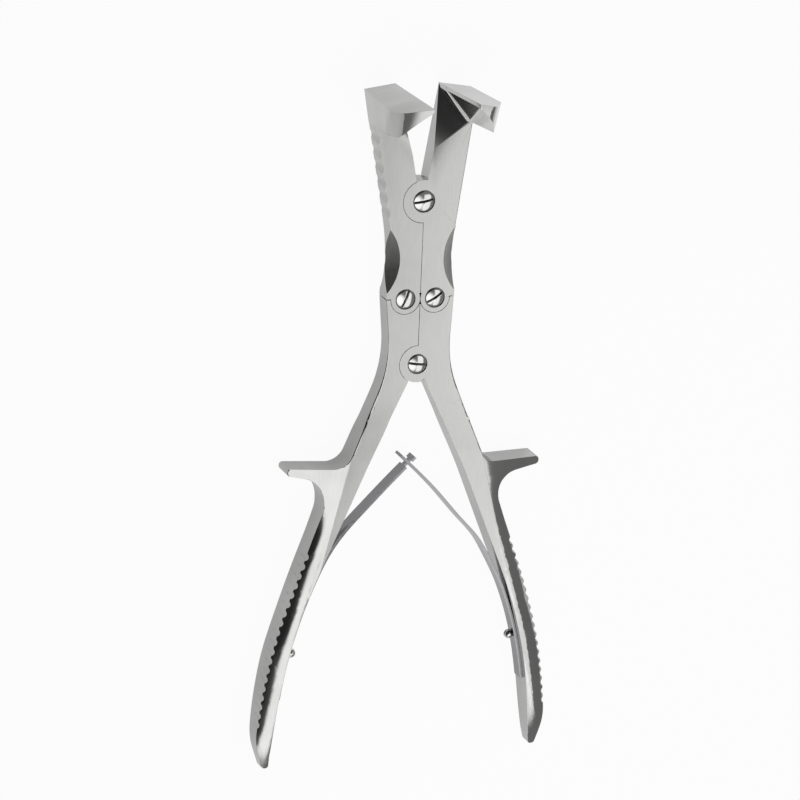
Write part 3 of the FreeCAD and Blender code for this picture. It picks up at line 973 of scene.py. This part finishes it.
@dataclass
class SlottedScrew(SteelPiece):
    """A pivot screw with a domed head and a screwdriver slot."""

    axis: Vector = field(default_factory=Vector)
    # The slot's walls and bottom lie over the first of these, the bottom by less than the second.
    slot_floor_mm: float = 11.9
    slot_over_mm: float = 1.0
    slot_reach_mm: float = 3.6

    def in_recess(self, face: bpy.types.MeshPolygon) -> bool:
        """Says whether a face is a wall or the bottom of the slot.

        Args:
            face: a face of the screw.

        Returns:
            True in the slot.
        """
        # The faces picked here get the slot's near-black colour, which is painted shade.
        wall_most, bottom_least = 0.1, 0.999
        height = face.center.z / MM
        off = (face.center - self.axis).xy.length / MM
        wall = abs(face.normal.z) < wall_most
        bottom = face.normal.z > bottom_least and height < self.slot_floor_mm + self.slot_over_mm
        return height > self.slot_floor_mm and off < self.slot_reach_mm and (wall or bottom)


@dataclass
class LeafSpring:
    """A leaf spring that runs from its handle to the other spring's tip."""

    side: Side
    root: Vector
    tip: Vector
    edge_mm: float = 0.08
    over_degrees: float = 40.0
    flat_degrees: float = 0.2
    cuts: int = 36
    # The cuts start behind the root and end past the tip, as shares of the run between them.
    cuts_start: float = -0.22
    cuts_run: float = 1.2
    # Where a bend would start, just behind the root screw, and be full, before the tip.
    bend_start: float = -0.02
    bend_end: float = 0.85

    def make(self, frame: dict, material: bpy.types.Material) -> bpy.types.Object:
        """Makes the spring as a strip with enough cuts across it to bend.

        Args:
            material: its finish.

        Returns:
            The finished spring.
        """
        node = f"{self.side.value}_spring"
        piece = unshaded_copy(frame["nodes"][node], f"{node}_finished", self.flat_degrees)
        run = self.tip - self.root
        nearest_mm = 0.0005
        select_only(piece)
        bpy.ops.object.mode_set(mode="EDIT")
        for i in range(self.cuts):
            bpy.ops.mesh.select_all(action="SELECT")
            at = self.root + run * ((i + 0.5) / self.cuts * self.cuts_run + self.cuts_start)
            bpy.ops.mesh.bisect(plane_co=at, plane_no=run.normalized(), threshold=nearest_mm * MM)
        bpy.ops.object.mode_set(mode="OBJECT")
        round_edges(piece, self.edge_mm, self.over_degrees)
        piece.data.materials.append(material)
        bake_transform(piece)
        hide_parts(node)
        LOG.info("%s: %d faces", piece.name, len(piece.data.polygons))
        return piece


@dataclass
class Linkage:
    """The four forgings and the six screws that join them."""

    forgings: list[Forging] = field(
        default_factory=lambda: [
            Forging(
                "left_jaw",
                "left_jaw",
                "jaw_steel",
                edge_mm=0.06,
                flat_degrees=0.1,
                side=Side.LEFT,
                recess_rise_mm=(50.0, 95.0),
            ),
            Forging(
                "right_jaw",
                "right_jaw",
                "jaw_steel",
                edge_mm=0.06,
                flat_degrees=0.0,
                side=Side.RIGHT,
                eased=Edge.OUTER,
                eased_rise_mm=(84.0, 90.0, 114.0, 120.0),
                eased_mm=0.5,
                recess_rise_mm=(50.0, 95.0),
            ),
            Forging(
                "left_handle",
                "left_handle",
                "handle_steel",
                side=Side.LEFT,
                eased=Edge.OUTER,
                eased_rise_mm=(-24.0, -8.0, 18.0, 50.0),
            ),
            Forging(
                "right_handle",
                "right_handle",
                "handle_steel",
                side=Side.RIGHT,
                eased=Edge.OUTER,
                eased_rise_mm=(-24.0, -8.0, 18.0, 50.0),
            ),
        ]
    )

    def screws(self, frame: dict) -> list[SteelPiece]:
        """Lists the screws, the pivot screws with the axis of each slot's head.


        Returns:
            The screws, still to be made.
        """
        heads = {
            "jaw_pivot_screw": "left_jaw",
            "handle_pivot_screw": "left_handle",
            "left_link_screw": "left_handle",
            "right_link_screw": "right_handle",
        }
        slot_depth_mm, rim_mm = 0.95, 0.15
        found: list[SteelPiece] = []
        for node, body in heads.items():
            low, high = (Vector(corner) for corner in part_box(node))
            found.append(
                SlottedScrew(
                    node,
                    body,
                    "screw_steel",
                    axis=(low + high) / 2,
                    slot_floor_mm=high.z / MM - slot_depth_mm,
                    slot_reach_mm=(high.x - low.x) / 2 / MM - rim_mm,
                )
            )
        for side in Side:
            node, body = f"{side.value}_spring_screw", f"{side.value}_handle"
            found.append(SteelPiece(node, body, "screw_steel"))
        return found

    def make(self, frame: dict) -> None:
        """Makes the forgings and the screws.
        """
        # The recess and slot finishes are darkened with painted shade.
        forged, recess = FORGED_STEEL.build(), RECESS_STEEL_WITH_PAINTED_SHADE.build()
        turned, slot = SCREW_STEEL.build(), SLOT_PAINTED_SHADE_STEEL.build()
        for forging in self.forgings:
            forging.make(frame, forged, recess)
        for screw in self.screws(frame):
            screw.make(frame, turned, slot)


@dataclass(frozen=True)
class Panel:
    """A round light or dark panel far off, with a soft rim."""

    towards: tuple[float, float, float]
    full_degrees: float
    rim_degrees: float
    level: float

    def paint(
        self,
        tree: bpy.types.NodeTree,
        direction: bpy.types.NodeSocket,
        below: bpy.types.NodeSocket | float,
    ) -> bpy.types.NodeSocket:
        """Paints the panel over what is there already.

        Args:
            tree: the world's tree.
            direction: the direction that is looked in.
            below: the level without this panel, a number where nothing is painted yet.

        Returns:
            The level with it.
        """
        facing = add_node(
            tree,
            "ShaderNodeVectorMath",
            {0: direction},
            {1: tuple(Vector(self.towards).normalized())},
            operation="DOT_PRODUCT",
        )
        inside = add_node(
            tree,
            "ShaderNodeMapRange",
            {"Value": facing.outputs["Value"]},
            {
                "From Min": math.cos(math.radians(self.rim_degrees)),
                "From Max": math.cos(math.radians(self.full_degrees)),
            },
            interpolation_type="SMOOTHSTEP",
        )
        links: dict[str | int, bpy.types.NodeSocket] = {0: inside.outputs["Result"]}
        levels: dict[str | int, object] = {3: self.level}
        if isinstance(below, float):
            levels[2] = below
        else:
            links[2] = below
        return add_node(tree, "ShaderNodeMix", links, levels).outputs[0]


@dataclass
class Studio:
    """The camera, the pale floor and the light."""

    pivot: Vector
    # Where the photograph was taken from: left of the tool, from its head's end, and leaning.
    azimuth: float = 21.0
    elevation: float = 17.0
    roll: float = 2.35
    distance: float = 2.1945
    lens: float = 252.0
    centre_px: tuple[float, float] = (414.0, 361.0)
    photo_px: int = 800
    room_level: float = 0.22
    paper_hex: str = "F4F4F4"
    floor_size: float = 6.0
    floor_in_view: float = 0.95
    # Painted reflection: the steel mirrors the floor's glow lighter behind the heads than beside
    # the grips, though the camera sees the floor evenly.
    floor_painted_reflection: tuple[float, float] = (0.52, 0.75)
    floor_painted_reflection_mm: tuple[float, float] = (20.0, 150.0)
    lamp_place: tuple[float, float, float] = (0.175, -0.10, 0.30)
    lamp_size: tuple[float, float] = (0.13, 0.42)
    lamp_level: float = 1.1
    lamp_lean: float = 25.0
    # Two dark corners at the head's end and two soft lights at the grips' end.
    panels: list[Panel] = field(
        default_factory=lambda: [
            Panel((-0.75, 0.60, 0.25), 40.0, 75.0, 0.03),
            Panel((-0.20, 0.55, 0.80), 20.0, 40.0, 0.04),
            Panel((-0.12, -0.38, 0.92), 14.0, 31.0, 1.6),
            Panel((-0.14, -0.93, 0.33), 8.0, 17.0, 1.4),
        ]
    )

    def make_camera(self) -> bpy.types.Object:
        """Stands the camera where the photograph was taken from.

        Returns:
            The camera.
        """
        side, up, roll = (math.radians(v) for v in (self.azimuth, self.elevation, self.roll))
        level = Vector((-math.sin(side), 0.0, math.cos(side)))
        back = level * math.cos(up) + Vector((0.0, math.sin(up), 0.0))
        right = Vector((math.cos(side), 0.0, math.sin(side)))
        above = back.cross(right)
        x = right * math.cos(roll) + above * math.sin(roll)
        y = above * math.cos(roll) - right * math.sin(roll)
        bpy.ops.object.camera_add()
        camera = bpy.context.object
        camera.name = "photo_camera"
        turn = Matrix((x, y, back)).transposed().to_4x4()
        camera.matrix_world = Matrix.Translation(self.pivot + back * self.distance) @ turn
        camera.data.sensor_width = 36.0
        camera.data.lens = self.lens
        camera.data.shift_x = -(self.centre_px[0] - self.photo_px / 2) / self.photo_px
        camera.data.shift_y = (self.centre_px[1] - self.photo_px / 2) / self.photo_px
        camera.data.clip_start = 0.05
        camera.data.clip_end = 20.0
        bpy.context.scene.camera = camera
        return camera

    def make_floor(self) -> bpy.types.Object:
        """Lays the pale floor that the tool lies on.

        Returns:
            The floor.
        """
        bpy.ops.mesh.primitive_plane_add(size=self.floor_size, location=(0, 0, 0))
        floor = bpy.context.object
        floor.name = "pale_floor"
        material = bpy.data.materials.new("white_paper_sweep")
        material.use_nodes = True
        tree = material.node_tree
        tree.nodes.clear()
        paper = add_node(
            tree,
            "ShaderNodeBsdfPrincipled",
            inputs={"Base Color": linear(self.paper_hex), "Roughness": 0.8},
        )
        glow = add_node(tree, "ShaderNodeEmission", inputs={"Color": (1, 1, 1, 1), "Strength": 1.0})
        path = add_node(tree, "ShaderNodeLightPath")
        mirrored = add_node(
            tree,
            "ShaderNodeMath",
            {0: path.outputs["Is Glossy Ray"], 1: path.outputs["Is Transmission Ray"]},
            operation="MAXIMUM",
        )
        coords = add_node(tree, "ShaderNodeTexCoord")
        place = add_node(tree, "ShaderNodeSeparateXYZ", {"Vector": coords.outputs["Object"]})
        # Painted reflection: in the steel the floor glows dimmer beside the grips and lighter
        # behind the heads.
        painted_reflection_ramp = add_node(
            tree,
            "ShaderNodeMapRange",
            {"Value": place.outputs["Y"]},
            {
                "From Min": self.floor_painted_reflection_mm[0] * MM,
                "From Max": self.floor_painted_reflection_mm[1] * MM,
                "To Min": self.floor_painted_reflection[0],
                "To Max": self.floor_painted_reflection[1],
            },
        )
        dimmer = add_node(
            tree,
            "ShaderNodeMath",
            {0: mirrored.outputs["Value"], 1: painted_reflection_ramp.outputs["Result"]},
            operation="MULTIPLY",
        )
        plain = add_node(
            tree,
            "ShaderNodeMath",
            {0: path.outputs["Is Camera Ray"]},
            {1: self.floor_in_view},
            operation="MULTIPLY",
        )
        share = add_node(
            tree,
            "ShaderNodeMath",
            {0: dimmer.outputs["Value"], 1: plain.outputs["Value"]},
            operation="MAXIMUM",
        )
        mixed = add_node(
            tree,
            "ShaderNodeMixShader",
            {0: share.outputs["Value"], 1: paper.outputs["BSDF"], 2: glow.outputs["Emission"]},
        )
        add_node(tree, "ShaderNodeOutputMaterial", {"Surface": mixed.outputs["Shader"]})
        floor.data.materials.append(material)
        return floor

    def make_world(self) -> None:
        """Makes the studio round the tool from its panels and its dark corners."""
        world = bpy.data.worlds.new("studio")
        bpy.context.scene.world = world
        world.use_nodes = True
        tree = world.node_tree
        tree.nodes.clear()
        coords = add_node(tree, "ShaderNodeTexCoord")
        below: bpy.types.NodeSocket | float = self.room_level
        for panel in self.panels:
            below = panel.paint(tree, coords.outputs["Generated"], below)
        sky = add_node(tree, "ShaderNodeBackground", {"Color": below}, {"Strength": 1.0})
        add_node(tree, "ShaderNodeOutputWorld", {"Surface": sky.outputs["Background"]})

    def make_lamps(self) -> None:
        """Hangs a softbox over the tool's right side, which makes that side's flats lighter."""
        bpy.ops.object.light_add(type="AREA", location=self.lamp_place)
        lamp = bpy.context.object
        lamp.name = "right_softbox"
        lamp.data.shape = "RECTANGLE"
        lamp.data.size, lamp.data.size_y = self.lamp_size
        lamp.data.energy = self.lamp_level * math.pi * self.lamp_size[0] * self.lamp_size[1]
        lamp.rotation_euler = (0.0, math.radians(self.lamp_lean), 0.0)
        lamp.visible_camera = False

    def make(self) -> None:
        """Makes the whole studio."""
        self.make_camera()
        self.make_floor()
        self.make_world()
        self.make_lamps()


def main() -> None:
    """Builds the tool and the studio."""
    logging.basicConfig(level=logging.INFO, format="%(name)s: %(message)s")
    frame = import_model()
    scene = bpy.context.scene
    scene.view_settings.view_transform = "Standard"
    joints = {joint["name"]: Vector(joint["pos_m"]) for joint in frame["joints"]}
    pivot = joints["handle_pivot"]
    Studio(pivot).make()
    Linkage().make(frame)
    # The springs' darker colour is painted shade.
    spring_steel_with_painted_shade = SPRING_STEEL_WITH_PAINTED_SHADE.build()
    crossing = pivot + SPRING_CROSSING_MM * MM
    for side in Side:
        LeafSpring(side, joints[f"{side.value}_spring_bend"], crossing).make(frame, spring_steel_with_painted_shade)


if __name__ == "__main__":
    main()
